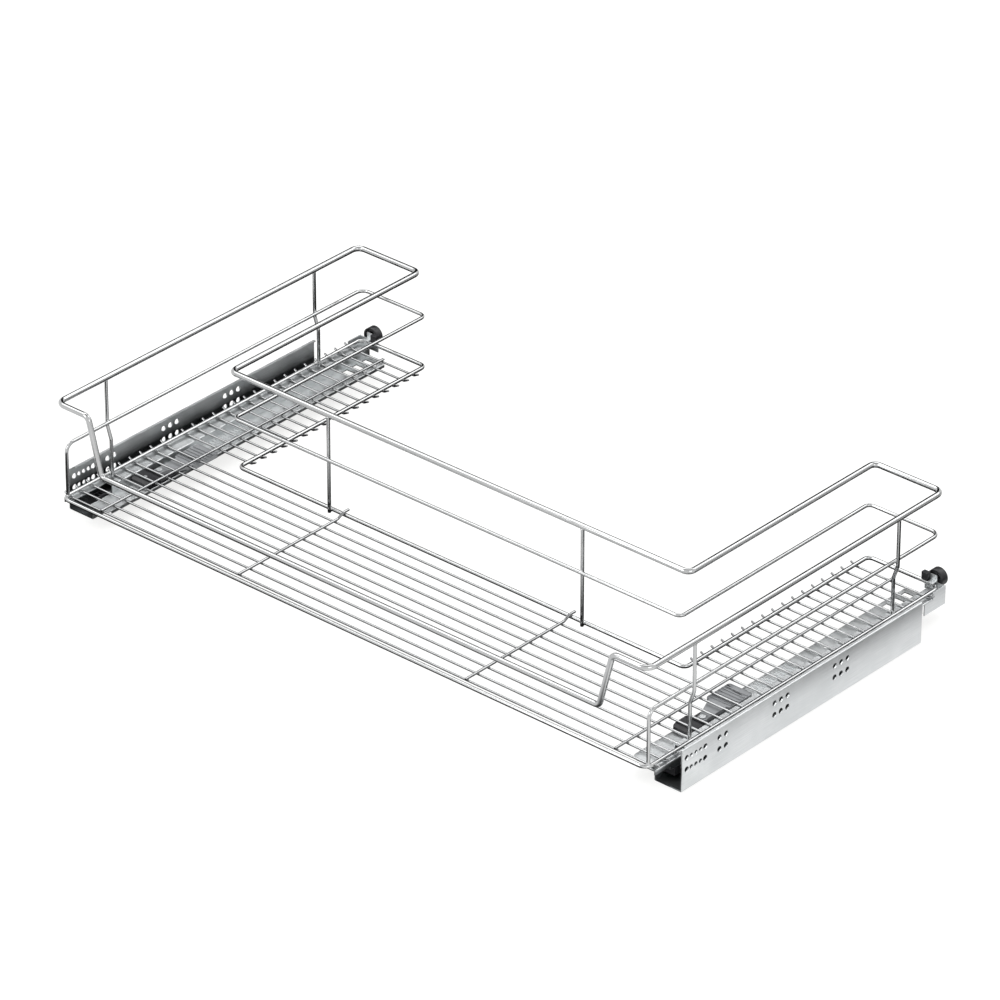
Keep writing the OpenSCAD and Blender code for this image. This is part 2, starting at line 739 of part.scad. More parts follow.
module floor_frame() {
    rear = basket_depth + frame_rear_more;
    color("#d9d9d6") in_place() both_sides() wire([
        [0, frame_cut_y, frame_z], [frame_arm_x, frame_cut_y, frame_z], [frame_arm_x, rear, frame_z],
        [frame_x, rear, frame_z], [frame_x, frame_set_back, frame_z],
        [0, frame_set_back, frame_z]], frame_d, [0, inner_bend, inner_bend, corner_bend, corner_bend, 0]);
}

module middle_rail() {
    rear = basket_depth + mid_rear_more;
    color("#d9d9d6") in_place() both_sides() wire([[0, mid_cut_y, mid_z], [mid_arm_x, mid_cut_y, mid_z],
        [mid_arm_x, rear, mid_z], [mid_x, rear, mid_z], [mid_x, leg_set_back, mid_z],
        [mid_x, leg_set_back, frame_z + 1.2]],
        mid_d, [0, inner_bend, inner_bend, corner_bend, corner_bend, 0]);
}

module top_rail() {
    rear = basket_depth;
    dip_top = top_x - dip_inset;
    color("#dededb") in_place() both_sides() wire([[0, top_cut_y, top_z], [top_arm_x, top_cut_y, top_z],
        [top_arm_x, rear, top_z], [top_x, rear, top_z], [top_x, 0, top_z], [dip_top, 0, top_z],
        [dip_top - dip_slant, 0, dip_z], [0, 0, dip_z]],
        top_d, [0, inner_bend + 1, inner_bend + 1, corner_bend, corner_bend, inner_bend + 1, inner_bend, 0]);
}

// Floor wire across the frame at y, from x0 to x1, with its ends turned up outside the frame
module floor_wire(y, x0, x1) {
    tip_z = floor_z + tip_rise;
    wire([[x0 - tip_reach, y, tip_z], [x0 - tip_corner, y, floor_z], [x1 + tip_corner, y, floor_z],
        [x1 + tip_reach, y, tip_z]], floor_d, [0, tip_bend, tip_bend, 0]);
}

module front_floor_wires() {
    color("#e2e2df") in_place() for (y = long_rows) floor_wire(y, -frame_x, frame_x);
}

module arm_floor_wires() {
    color("#e2e2df") for (y = arm_rows) floor_wire(y, frame_arm_x, frame_x);
}

// Support wire on the floor wires, rising over the wire at its far end
module support_wire(x, over_y) {
    rise = frame_d + floor_d;
    wire([[x, floor_start - floor_d, support_z], [x, over_y - rise - 4, support_z],
        [x, over_y - frame_d / 2, hook_over_z], [x, over_y + support_past, hook_over_z]],
        support_d, [0, support_bend, support_bend, 0]);
}

module front_support_wires() {
    color("#dcdcd9") in_place() for (x = [-front_support_x, front_support_x]) support_wire(x, frame_cut_y);
}

module arm_support_wires() {
    inset = frame_x - arm_support_in;
    far = floor_rows[row_count - 1] + floor_d;
    color("#dcdcd9") in_place() for (x = [-inset, inset])
        rod([x, floor_start - floor_d, support_z], [x, far, support_z], support_d);
}

// Side post: under the top rail, outside the middle rail and inside the floor frame
module side_post(y) {
    wire([[post_x, y, post_top], [post_x, y, mid_z - step_start],
        [post_low_x, y, mid_z - step_start - step_h], [post_low_x, y, frame_z - frame_d / 2]],
        post_d, [0, post_bend, post_bend, 0]);
}

module side_posts(y) {
    color("#dcdcd9") in_place() both_sides() side_post(y);
}

module inner_posts() {
    color("#dcdcd9") in_place() for (x = [-inner_post_x, inner_post_x])
        rod([x, front_zone, frame_z - frame_d / 2], [x, front_zone, post_top], post_d);
}

on_side(true) cabinet_rail();  // cabinet_rail_left
on_side(false) cabinet_rail();  // cabinet_rail_right
on_side(true) closing_buffer();  // closing_buffer_left
on_side(false) closing_buffer();  // closing_buffer_right
on_side(true) intermediate_rail();  // intermediate_rail_left
on_side(false) intermediate_rail();  // intermediate_rail_right
on_side(true) rail_guide();  // rail_guide_left
on_side(false) rail_guide();  // rail_guide_right
on_side(true) lower_cage();  // lower_cage_left
on_side(false) lower_cage();  // lower_cage_right
on_side(true) lower_rollers();  // lower_rollers_left
on_side(false) lower_rollers();  // lower_rollers_right
on_side(true) upper_cage();  // upper_cage_left
on_side(false) upper_cage();  // upper_cage_right
on_side(true) upper_rollers();  // upper_rollers_left
on_side(false) upper_rollers();  // upper_rollers_right
on_side(true) drawer_member();  // drawer_member_left
on_side(false) drawer_member();  // drawer_member_right
on_side(true) rear_hook();  // rear_hook_left
on_side(false) rear_hook();  // rear_hook_right
on_side(true) hook_cap();  // hook_cap_left
on_side(false) hook_cap();  // hook_cap_right
on_side(true) tilt_knob();  // tilt_knob_left
on_side(false) tilt_knob();  // tilt_knob_right
on_side(true) clip_housing();  // clip_housing_left
on_side(false) clip_housing();  // clip_housing_right
on_side(true) clip_pins();  // clip_pins_left
on_side(false) clip_pins();  // clip_pins_right
on_side(true) release_lever();  // release_lever_left
on_side(false) release_lever();  // release_lever_right
on_side(true) height_wheel();  // height_wheel_left
on_side(false) height_wheel();  // height_wheel_right
floor_frame();
middle_rail();
top_rail();
front_floor_wires();
on_side(true) arm_floor_wires();  // left_floor_wires
on_side(false) arm_floor_wires();  // right_floor_wires
front_support_wires();
arm_support_wires();
side_posts(front_post_y);  // front_posts
side_posts(rear_post_y);  // rear_posts
inner_posts();
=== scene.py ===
import json
import math

import bmesh
import bpy
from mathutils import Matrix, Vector


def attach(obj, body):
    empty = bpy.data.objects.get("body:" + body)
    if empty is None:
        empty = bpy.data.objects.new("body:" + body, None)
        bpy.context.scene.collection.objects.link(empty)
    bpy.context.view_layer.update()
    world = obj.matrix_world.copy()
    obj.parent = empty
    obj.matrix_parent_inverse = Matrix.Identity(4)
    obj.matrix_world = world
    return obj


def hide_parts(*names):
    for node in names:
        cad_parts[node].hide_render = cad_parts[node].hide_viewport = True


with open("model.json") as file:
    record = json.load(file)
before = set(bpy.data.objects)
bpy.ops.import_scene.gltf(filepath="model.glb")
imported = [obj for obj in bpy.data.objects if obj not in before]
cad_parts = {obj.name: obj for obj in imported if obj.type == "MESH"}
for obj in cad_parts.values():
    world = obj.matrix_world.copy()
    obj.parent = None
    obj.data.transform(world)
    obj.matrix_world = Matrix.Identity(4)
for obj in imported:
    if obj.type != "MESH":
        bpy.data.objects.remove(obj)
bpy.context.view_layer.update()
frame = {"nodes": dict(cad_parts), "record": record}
scene = bpy.context.scene
scene.view_settings.view_transform = "Standard"
nodes = frame["nodes"]
mm = 0.001
depthShift = 243.3  # the model's origin lies this far behind the top rail, in mm
print("frame loaded:", len(nodes), "nodes")


def at(x, y, z):
    # a place in mm, with y counted from the top rail, as a vector in the model's metres
    return Vector((x * mm, (y - depthShift) * mm, z * mm))


def addNode(tree, kind, inputs=None, **settings):
    # an input is a value or another node's output; a colour mix has its two colours at 6 and 7
    node = tree.nodes.new(kind)
    for name, value in settings.items():
        setattr(node, name, value)
    for key, value in (inputs or {}).items():
        if isinstance(value, bpy.types.NodeSocket):
            tree.links.new(value, node.inputs[key])
        else:
            node.inputs[key].default_value = value
    return node


def fromHex(code):
    # an sRGB hex code as the linear colour that a socket takes
    parts = [int(code[i:i + 2], 16) / 255 for i in (0, 2, 4)]
    linear = [p / 12.92 if p <= 0.04045 else ((p + 0.055) / 1.055) ** 2.4 for p in parts]
    return (*linear, 1.0)


def perMetre(size):
    # how often a pattern of this size in mm repeats in a metre
    return 1000 / size


def startMaterial(name):
    material = bpy.data.materials.new(name)
    material.use_nodes = True
    tree = material.node_tree
    tree.nodes.clear()
    return material, tree


def endMaterial(tree, shader):
    addNode(tree, "ShaderNodeOutputMaterial", {"Surface": shader.outputs[0]})


# Chrome-plated steel wire: drawn, bent, welded and then plated, so it is mirror bright and slightly wavy
def makeChromeWire(name, look):
    material, tree = startMaterial(name)
    place = addNode(tree, "ShaderNodeTexCoord").outputs["Object"]
    cloud = addNode(tree, "ShaderNodeTexNoise",
                    {"Vector": place, "Scale": perMetre(look["cloud"]), "Detail": 3.0})
    ripple = addNode(tree, "ShaderNodeTexNoise",
                     {"Vector": place, "Scale": perMetre(look["ripple"]), "Detail": 1.0})
    rough = addNode(tree, "ShaderNodeMapRange",
                    {"Value": cloud.outputs[0], "From Min": 0.35, "From Max": 0.7,
                     "To Min": look["polished"], "To Max": look["handled"]})
    tint = addNode(tree, "ShaderNodeMix",
                   {0: cloud.outputs[0], 6: fromHex(look["colour"]), 7: fromHex(look["dull"])},
                   data_type="RGBA")
    bump = addNode(tree, "ShaderNodeBump",
                   {"Height": ripple.outputs[0], "Strength": 0.05, "Distance": 0.02 * mm})
    shader = addNode(tree, "ShaderNodeBsdfPrincipled",
                     {"Base Color": tint.outputs[2], "Metallic": 1.0, "Roughness": rough.outputs[0],
                      "Normal": bump.outputs[0]})
    endMaterial(tree, shader)
    return material


# Electro-galvanised sheet: rolled, zinc-plated and pressed, so it is satin with faint streaks along it
def makeGalvanisedSheet():
    look = {"colour": "E4E6E7", "streak": "D0D3D4", "acrossGrain": 0.5, "alongGrain": 45, "cloud": 30,
            "polished": 0.36, "worn": 0.47}
    # painted shade: a darker colour where the rails run in each other, standing in for the shade inside the
    # channel; from "in" to "out" counted from the middle, below "top" and in front of "rear", in mm
    channelShade = {"colour": "7A7D7F", "in": 397.4, "out": 431.3, "top": 28.5, "rear": 425,
              "sideFade": 0.4, "topFade": 1.5, "rearFade": 1}
    material, tree = startMaterial("galvanisedSheet")
    place = addNode(tree, "ShaderNodeTexCoord").outputs["Object"]
    across, along = perMetre(look["acrossGrain"]), perMetre(look["alongGrain"])
    stretch = addNode(tree, "ShaderNodeMapping", {"Vector": place, "Scale": (across, along, across)})
    grain = addNode(tree, "ShaderNodeTexNoise",
                    {"Vector": stretch.outputs[0], "Scale": 1.0, "Detail": 2.0})
    cloud = addNode(tree, "ShaderNodeTexNoise",
                    {"Vector": place, "Scale": perMetre(look["cloud"]), "Detail": 3.0})
    both = addNode(tree, "ShaderNodeMath", {0: grain.outputs[0], 1: cloud.outputs[0]},
                   operation="MULTIPLY")
    tint = addNode(tree, "ShaderNodeMapRange",
                   {"Value": both.outputs[0], "From Min": 0.12, "From Max": 0.42})
    bare = addNode(tree, "ShaderNodeMix",
                   {0: tint.outputs[0], 6: fromHex(look["streak"]), 7: fromHex(look["colour"])},
                   data_type="RGBA")
    spot = addNode(tree, "ShaderNodeSeparateXYZ", {"Vector": place}).outputs
    out = addNode(tree, "ShaderNodeMath", {0: spot[0]}, operation="ABSOLUTE").outputs[0]
    # with a negative fade, the side below the limit gets the painted shade
    limits = ((out, channelShade["in"], channelShade["sideFade"]),
              (out, channelShade["out"], -channelShade["sideFade"]),
              (spot[2], channelShade["top"], -channelShade["topFade"]),
              (spot[1], channelShade["rear"] - depthShift, -channelShade["rearFade"]))
    shaded = 1.0
    for value, edge, fade in limits:
        side = addNode(tree, "ShaderNodeMapRange",
                       {"Value": value, "From Min": (edge - fade) * mm, "From Max": (edge + fade) * mm})
        shaded = addNode(tree, "ShaderNodeMath", {0: side.outputs[0], 1: shaded},
                          operation="MULTIPLY").outputs[0]
    # the painted shade of the channel's inside mixed over the bare sheet
    colour = addNode(tree, "ShaderNodeMix",
                     {0: shaded, 6: bare.outputs[2], 7: fromHex(channelShade["colour"])}, data_type="RGBA")
    rough = addNode(tree, "ShaderNodeMapRange",
                    {"Value": cloud.outputs[0], "From Min": 0.3, "From Max": 0.7,
                     "To Min": look["polished"], "To Max": look["worn"]})
    bump = addNode(tree, "ShaderNodeBump",
                   {"Height": grain.outputs[0], "Strength": 0.12, "Distance": 0.02 * mm})
    shader = addNode(tree, "ShaderNodeBsdfPrincipled",
                     {"Base Color": colour.outputs[2], "Metallic": 1.0, "Roughness": rough.outputs[0],
                      "Normal": bump.outputs[0]})
    endMaterial(tree, shader)
    return material


# Moulded nylon and rubber: a fine spark-eroded grain breaks up the highlights
def makeMoulded(name, look):
    uneven = 0.06  # how far the roughness wanders up and down
    material, tree = startMaterial(name)
    place = addNode(tree, "ShaderNodeTexCoord").outputs["Object"]
    grain = addNode(tree, "ShaderNodeTexNoise",
                    {"Vector": place, "Scale": perMetre(look["grain"]), "Detail": 2.0})
    flow = addNode(tree, "ShaderNodeTexNoise",
                   {"Vector": place, "Scale": perMetre(look["flow"]), "Detail": 2.0})
    colour = addNode(tree, "ShaderNodeMix",
                     {0: flow.outputs[0], 6: fromHex(look["colour"]), 7: fromHex(look["worn"])},
                     data_type="RGBA")
    rough = addNode(tree, "ShaderNodeMapRange",
                    {"Value": flow.outputs[0], "From Min": 0.3, "From Max": 0.7,
                     "To Min": look["rough"] - uneven, "To Max": look["rough"] + uneven})
    bump = addNode(tree, "ShaderNodeBump",
                   {"Height": grain.outputs[0], "Strength": 0.25, "Distance": 0.05 * mm})
    shader = addNode(tree, "ShaderNodeBsdfPrincipled",
                     {"Base Color": colour.outputs[2], "IOR": look["ior"], "Roughness": rough.outputs[0],
                      "Normal": bump.outputs[0]})
    endMaterial(tree, shader)
    return material


# Pattern sizes (cloud, ripple, grain and flow) are in mm
chromeWire = makeChromeWire("chromePlatedWire", {
    "colour": "C4C5C5", "dull": "B4B5B6", "polished": 0.05, "handled": 0.2, "cloud": 22, "ripple": 1.6})
# Painted shade: the thin wires of the floor get a greyer copy of the chrome than the thick ones, standing in
# for the darker reflections they catch low over the floor
shadedThinChromeWire = makeChromeWire("chromePlatedThinShadedWire", {
    "colour": "B3B4B5", "dull": "A4A5A6", "polished": 0.08, "handled": 0.22, "cloud": 16, "ripple": 1.2})
galvanisedSheet = makeGalvanisedSheet()
blackNylon = makeMoulded("blackNylon", {
    "colour": "17171A", "worn": "232326", "grain": 0.35, "flow": 9, "rough": 0.42, "ior": 1.53})
greyNylon = makeMoulded("greyNylon", {
    "colour": "85878A", "worn": "96989A", "grain": 0.35, "flow": 9, "rough": 0.45, "ior": 1.53})
naturalNylon = makeMoulded("naturalNylon", {
    "colour": "E6E3D8", "worn": "D6D2C4", "grain": 0.5, "flow": 6, "rough": 0.34, "ior": 1.53})
blackRubber = makeMoulded("blackRubber", {
    "colour": "161616", "worn": "242424", "grain": 0.6, "flow": 7, "rough": 0.78, "ior": 1.52})
print("materials made")

finishes = {"chrome_wire": chromeWire, "galvanised_steel": galvanisedSheet, "plated_pin": galvanisedSheet,
            "black_nylon": blackNylon, "grey_nylon": greyNylon, "white_nylon": naturalNylon,
            "black_rubber": blackRubber}
slotOf = {part["node"]: part["material_slot"] for part in frame["record"]["subparts"]}
bodyOf = {node: body for body, held in frame["record"]["behaviour"]["bodies"].items() for node in held}
for name, part in nodes.items():
    part.data.materials.clear()
    part.data.materials.append(finishes[slotOf[name]])


def startTree(name, inputs):
    # every tree has Geometry first and the named inputs after it
    tree = bpy.data.node_groups.new(name, "GeometryNodeTree")
    tree.interface.new_socket("Geometry", in_out="INPUT", socket_type="NodeSocketGeometry")
    for label, kind in inputs:
        tree.interface.new_socket(label, in_out="INPUT", socket_type=kind)
    tree.interface.new_socket("Geometry", in_out="OUTPUT", socket_type="NodeSocketGeometry")
    return tree, addNode(tree, "NodeGroupInput").outputs


def endTree(tree, shape, material):
    solid = addNode(tree, "GeometryNodeRealizeInstances", {0: shape})
    painted = addNode(tree, "GeometryNodeSetMaterial", {"Geometry": solid.outputs[0], "Material": material})
    addNode(tree, "NodeGroupOutput", {"Geometry": painted.outputs[0]})
    return tree


# Round wire along the edges of a mesh, rounded at each point by its "bend"
def bentWireTree():
    tree, given = startTree("bentWire", [
        ("Diameter", "NodeSocketFloat"), ("Sides", "NodeSocketInt"), ("Bend Steps", "NodeSocketInt"),
        ("Material", "NodeSocketMaterial")])
    path = addNode(tree, "GeometryNodeMeshToCurve", {"Mesh": given["Geometry"]})
    bend = addNode(tree, "GeometryNodeInputNamedAttribute", {"Name": "bend"}, data_type="FLOAT")
    bent = addNode(tree, "GeometryNodeFilletCurve",
                   {"Curve": path.outputs[0], "Count": given["Bend Steps"], "Radius": bend.outputs[0]},
                   mode="POLY")
    radius = addNode(tree, "ShaderNodeMath", {0: given["Diameter"], 1: 0.5}, operation="MULTIPLY")
    ring = addNode(tree, "GeometryNodeCurvePrimitiveCircle",
                   {"Resolution": given["Sides"], "Radius": radius.outputs[0]}, mode="RADIUS")
    tube = addNode(tree, "GeometryNodeCurveToMesh",
                   {"Curve": bent.outputs[0], "Profile Curve": ring.outputs[0], "Fill Caps": True})
    smooth = addNode(tree, "GeometryNodeSetShadeSmooth", {0: tube.outputs[0]})
    return endTree(tree, smooth.outputs[0], given["Material"])


# Small drops, one at each point: weld spots and rounded wire ends, sized by the point's "spread"
def dropTree():
    tree, given = startTree("drops", [("Material", "NodeSocketMaterial")])
    ball = addNode(tree, "GeometryNodeMeshIcoSphere", {"Radius": 1.0, "Subdivisions": 2})
    smooth = addNode(tree, "GeometryNodeSetShadeSmooth", {0: ball.outputs[0]})
    spread = addNode(tree, "GeometryNodeInputNamedAttribute", {"Name": "spread"}, data_type="FLOAT_VECTOR")
    drops = addNode(tree, "GeometryNodeInstanceOnPoints",
                    {"Points": given["Geometry"], "Instance": smooth.outputs[0], "Scale": spread.outputs[0]})
    return endTree(tree, drops.outputs[0], given["Material"])


trees = {"bentWire": bentWireTree(), "drops": dropTree()}


def settled(source):
    # the object's mesh with its modifier applied; the object itself is removed
    depsgraph = bpy.context.evaluated_depsgraph_get()
    result = bpy.data.meshes.new_from_object(source.evaluated_get(depsgraph))
    bpy.data.objects.remove(source)
    return result


def grow(name, mesh, tree, values):
    # runs a tree on a mesh and keeps the result as a plain mesh
    source = bpy.data.objects.new(name + "Source", mesh)
    scene.collection.objects.link(source)
    modifier = source.modifiers.new("grow", "NODES")
    modifier.node_group = tree
    for item in tree.interface.items_tree:
        if item.in_out == "INPUT" and item.name in values:
            modifier[item.identifier] = values[item.name]
    return settled(source)


def pathMesh(name, paths):
    # a path is (points, bends, closed), all in mm
    points, bends, edges = [], [], []
    for places, radii, closed in paths:
        first = len(points)
        points += [at(*p) for p in places]
        bends += [r * mm for r in radii]
        edges += [(first + i, first + i + 1) for i in range(len(places) - 1)]
        if closed:
            edges.append((len(points) - 1, first))
    mesh = bpy.data.meshes.new(name)
    mesh.from_pydata(points, edges, [])
    mesh.attributes.new("bend", "FLOAT", "POINT").data.foreach_set("value", bends)
    return mesh


def dropMesh(name, drops):
    # a drop is (place, spread), all in mm
    mesh = bpy.data.meshes.new(name)
    mesh.from_pydata([at(*place) for place, spread in drops], [], [])
    spreads = [s * mm for place, spread in drops for s in spread]
    mesh.attributes.new("spread", "FLOAT_VECTOR", "POINT").data.foreach_set("vector", spreads)
    return mesh


def joinMeshes(name, meshes):
    whole = bmesh.new()
    for mesh in meshes:
        whole.from_mesh(mesh)
    result = bpy.data.meshes.new(name)
    whole.to_mesh(result)
    whole.free()
    for mesh in meshes:
        if mesh.materials and not result.materials:
            result.materials.append(mesh.materials[0])
    return result


def showPiece(name, mesh, body, slotName, *replaced):
    piece = bpy.data.objects.new(name, mesh)
    scene.collection.objects.link(piece)
    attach(piece, body)
    if replaced:
        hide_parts(*replaced)
    return piece


# Wires over the thick diameter in mm are drawn with more sides
wireDetail = {"thickOver": 4, "thickSides": 24, "thinSides": 16, "bendSteps": 9}


def wirePiece(name, node, paths, diameter, drops=(), metal=chromeWire):
    sides = wireDetail["thickSides"] if diameter > wireDetail["thickOver"] else wireDetail["thinSides"]
    sizes = {"Diameter": diameter * mm, "Sides": sides, "Bend Steps": wireDetail["bendSteps"]}
    parts = [grow(name, pathMesh(name, paths), trees["bentWire"], {**sizes, "Material": metal})]
    if drops:
        parts.append(grow(name + "Drops", dropMesh(name, drops), trees["drops"], {"Material": metal}))
    return showPiece(name, joinMeshes(name, parts), "basket", "chrome_wire", node)


# Angles in degrees and the merging distance in mm, for finding the edges that get a round
edgeSearch = {"sharp": 35, "flat": 1, "merge": 0.002}


def roundEdges(name, shape, edge, steps, material):
    # a bmesh's sharp edges get a small round; the result is a plain mesh
    mesh = bpy.data.meshes.new(name + "Edged")
    shape.to_mesh(mesh)
    shape.free()
    source = bpy.data.objects.new(name + "Source", mesh)
    scene.collection.objects.link(source)
    modifier = source.modifiers.new("edges", "BEVEL")
    modifier.width = edge * mm
    modifier.segments = steps
    modifier.limit_method = "ANGLE"
    modifier.angle_limit = math.radians(edgeSearch["sharp"])
    modifier.harden_normals = True
    result = settled(source)
    result.materials.clear()
    result.materials.append(material)
    return result


def softEdged(name, edge, steps):
    # a copy of the frame's solid, merged and with flat faces made whole, with its edges rounded
    shape = bmesh.new()
    shape.from_mesh(nodes[name].data)
    bmesh.ops.remove_doubles(shape, verts=shape.verts, dist=edgeSearch["merge"] * mm)
    bmesh.ops.dissolve_limit(shape, angle_limit=math.radians(edgeSearch["flat"]), verts=shape.verts,
                             edges=shape.edges)
    return roundEdges(name, shape, edge, steps, finishes[slotOf[name]])


# Rounds left by moulds and presses: how wide each is in mm, and its steps
edgeRounds = {"clip_housing": (0.5, 2), "release_lever": (0.6, 2), "tilt_knob": (0.45, 2),
              "hook_cap": (0.5, 2), "height_wheel": (0.25, 2), "rail_guide": (0.4, 2),
              "closing_buffer": (0.8, 3), "rear_hook": (0.3, 2), "clip_pins": (0.3, 2)}


def makeFittings():
    for kind, (edge, steps) in edgeRounds.items():
        for side in ("left", "right"):
            name = kind + "_" + side
            showPiece(name + "_edged", softEdged(name, edge, steps), bodyOf[name], slotOf[name], name)


# The plate's forward tongue beside the drawer member, which only the scene has, in mm
tongue = {"outer": 396.4, "inner": 369.6, "front": 25.0, "rear": 70.0, "top": 20.4, "sheet": 1.2,
          "corner": 9.0, "cornerSteps": 8, "fold": 4.0, "edge": 0.25, "edgeSteps": 2}


def addPrism(shape, outline, low, high):
    # a closed prism over an outline given in mm
    rings = [[shape.verts.new(at(x, y, z)) for x, y in outline] for z in (low, high)]
    count = len(outline)
    faces = [shape.faces.new(rings[0]), shape.faces.new(rings[1])]
    for i in range(count):
        j = (i + 1) % count
        faces.append(shape.faces.new((rings[0][i], rings[0][j], rings[1][j], rings[1][i])))
    bmesh.ops.recalc_face_normals(shape, faces=faces)


def makeTongues():
    t = tongue
    turns = [math.radians(90 * i / t["cornerSteps"]) for i in range(t["cornerSteps"] + 1)]
    bend = [(t["inner"] + t["corner"] * (1 - math.sin(turn)), t["front"] + t["corner"] * (1 - math.cos(turn)))
            for turn in turns]
    sheet = [(t["outer"], t["rear"]), (t["outer"], t["front"])] + bend + [(t["inner"], t["rear"])]
    foldOuter, foldFront = t["inner"] + t["sheet"], t["front"] + t["corner"]
    fold = [(t["inner"], foldFront), (foldOuter, foldFront), (foldOuter, t["rear"]), (t["inner"], t["rear"])]
    for side, name in ((-1, "plateTongueLeft"), (1, "plateTongueRight")):
        shape = bmesh.new()
        addPrism(shape, [(side * x, y) for x, y in sheet], t["top"] - t["sheet"], t["top"])
        addPrism(shape, [(side * x, y) for x, y in fold], t["top"] - t["fold"], t["top"] - t["sheet"] / 2)
        mesh = roundEdges(name, shape, t["edge"], t["edgeSteps"], galvanisedSheet)
        showPiece(name, mesh, "basket", "galvanised_steel")


# The welded basket with the part's own sizes in mm, counted to the middles of wires
basket = {
    # half the frame's width, the depth, the width of an arm and the depth in front of the drain
    "frameX": 410.75, "depth": 474.0, "armWidth": 95.7, "frontZone": 171.5,
    # how far the rails depart from those
    "topOut": 1.25, "topArmLess": 4.7, "midArmLess": 1.4, "cutTopMore": 0.9, "midRearMore": 2.0,
    "frameRearMore": 2.5, "frameFront": 1.2, "legY": 7.2, "legUp": 1.2,
    # heights, and the dip in the front of the top rail
    "frameZ": 34.5, "midRise": 64.0, "topRise": 117.0, "dipRise": 49.6, "dipInset": 45.5,
    "dipSlant": 17.5,
    # wire diameters, and how deep welded wires sink into each other
    "topWire": 6.5, "midWire": 4.0, "frameWire": 4.5, "postWire": 4.0, "floorWire": 2.5,
    "supportWire": 3.0, "weld": 0.3,
    # bends
    "cornerBend": 10.0, "innerBend": 7.0, "topInnerBend": 8.0, "tipBend": 3.0, "supportBend": 6.0,
    "postBend": 6.0,
    # floor wires with their raised ends, and the supports under which they are welded
    "firstRow": 12.9, "rowPitch": 16.44, "tipCorner": 1.0, "tipReach": 7.5, "tipRise": 3.4,
    "supportX": 160.0, "armSupportIn": 49.0, "supportPast": 6.5, "supportRun": 4.0,
    # posts, and the inward step of those at the sides
    "frontPostY": 73.5, "rearPostIn": 72.0, "innerPostX": 178.5, "postInTop": 1.0, "stepStart": 5.0,
    "stepHeight": 16.0}


def wirePlaces(b):
    # where wires run and end, worked out from the sizes
    onFrame = (b["frameWire"] + b["postWire"]) / 2 - b["weld"]
    onMid = (b["midWire"] + b["postWire"]) / 2 - b["weld"]
    topX = b["frameX"] + b["topOut"]
    midX = topX - onMid
    dipTop = topX - b["dipInset"]
    topZ = b["frameZ"] + b["topRise"]
    floorZ = b["frameZ"] - (b["frameWire"] + b["floorWire"]) / 2 + b["weld"]
    return {"topX": topX, "midX": midX, "postX": topX, "postLowX": b["frameX"] - onFrame,
            "armFrame": b["frameX"] - b["armWidth"],
            "armTop": topX - b["armWidth"] + b["topArmLess"],
            "armMid": midX - b["armWidth"] + b["midArmLess"],
            "armSupportX": b["frameX"] - b["armSupportIn"],
            "cutTop": b["frontZone"] + b["cutTopMore"],
            "cutMid": b["frontZone"] - onMid,
            "cutFrame": b["frontZone"] + onFrame,
            "topRear": b["depth"],
            "midRear": b["depth"] + b["midRearMore"],
            "frameRear": b["depth"] + b["frameRearMore"],
            "rearPostY": b["depth"] - b["rearPostIn"],
            "dipTop": dipTop, "dipLow": dipTop - b["dipSlant"], "dipZ": b["frameZ"] + b["dipRise"],
            "midZ": b["frameZ"] + b["midRise"],
            "topZ": topZ,
            "floorZ": floorZ,
            "supportZ": floorZ + (b["floorWire"] + b["supportWire"]) / 2 - b["weld"],
            "hookOverZ": b["frameZ"] + (b["frameWire"] + b["supportWire"]) / 2 - b["weld"],
            "postTop": topZ - b["topWire"] / 2 + b["postInTop"],
            "postFoot": b["frameZ"] - b["frameWire"] / 2}


# Weld spots and rounded wire ends: half the width, depth and height of each in mm,
# and how far some of them sit from a wire's middle or end
dropSizes = {"leg": (2.6, 2.6, 2.2), "legUp": 1.4,
             "floor": (1.5, 1.25, 1.0), "floorUp": 1.1, "tip": (0.9, 1.25, 1.1),
             "hook": (1.5, 1.5, 1.0), "hookDown": 1.4, "supportEnd": (1.5, 0.5, 1.5),
             "side": (1.3, 2.3, 2.6), "midOut": 2.0, "frameOut": 1.8,
             "inner": (2.3, 1.3, 2.6), "innerOut": 1.8,
             "postTop": (2.5, 2.5, 1.3), "postTopDown": 0.6, "postFoot": (2, 2, 0.6)}


def mirroredPath(half, bends, closed):
    # a half path from the middle outward, made whole by its mirror image
    return [(-x, y, z) for x, y, z in reversed(half)] + half, bends[::-1] + bends, closed


def makeRails(b, w):
    inner, outer, topInner = b["innerBend"], b["cornerBend"], b["topInnerBend"]
    z = w["topZ"]
    half = [(w["dipLow"], 0, w["dipZ"]), (w["dipTop"], 0, z), (w["topX"], 0, z),
            (w["topX"], w["topRear"], z), (w["armTop"], w["topRear"], z), (w["armTop"], w["cutTop"], z)]
    bends = [inner, topInner, outer, outer, topInner, topInner]
    wirePiece("topRail", "top_rail", [mirroredPath(half, bends, True)], b["topWire"])
    z = b["frameZ"]
    half = [(b["frameX"], b["frameFront"], z), (b["frameX"], w["frameRear"], z),
            (w["armFrame"], w["frameRear"], z), (w["armFrame"], w["cutFrame"], z)]
    bends = [outer, outer, inner, inner]
    wirePiece("floorFrame", "floor_frame", [mirroredPath(half, bends, True)], b["frameWire"])
    z = w["midZ"]
    half = [(w["armMid"], w["cutMid"], z), (w["armMid"], w["midRear"], z), (w["midX"], w["midRear"], z),
            (w["midX"], b["legY"], z), (w["midX"], b["legY"], b["frameZ"] + b["legUp"])]
    bends = [inner, inner, outer, outer, 0]
    drops = [((side * w["midX"], b["legY"], b["frameZ"] + dropSizes["legUp"]), dropSizes["leg"])
             for side in (-1, 1)]
    wirePiece("middleRail", "middle_rail", [mirroredPath(half, bends, False)], b["midWire"], drops)


def floorRows(b):
    count = math.floor((b["depth"] - b["firstRow"] - b["rowPitch"] / 2) / b["rowPitch"]) + 1
    return [b["firstRow"] + i * b["rowPitch"] for i in range(count)]


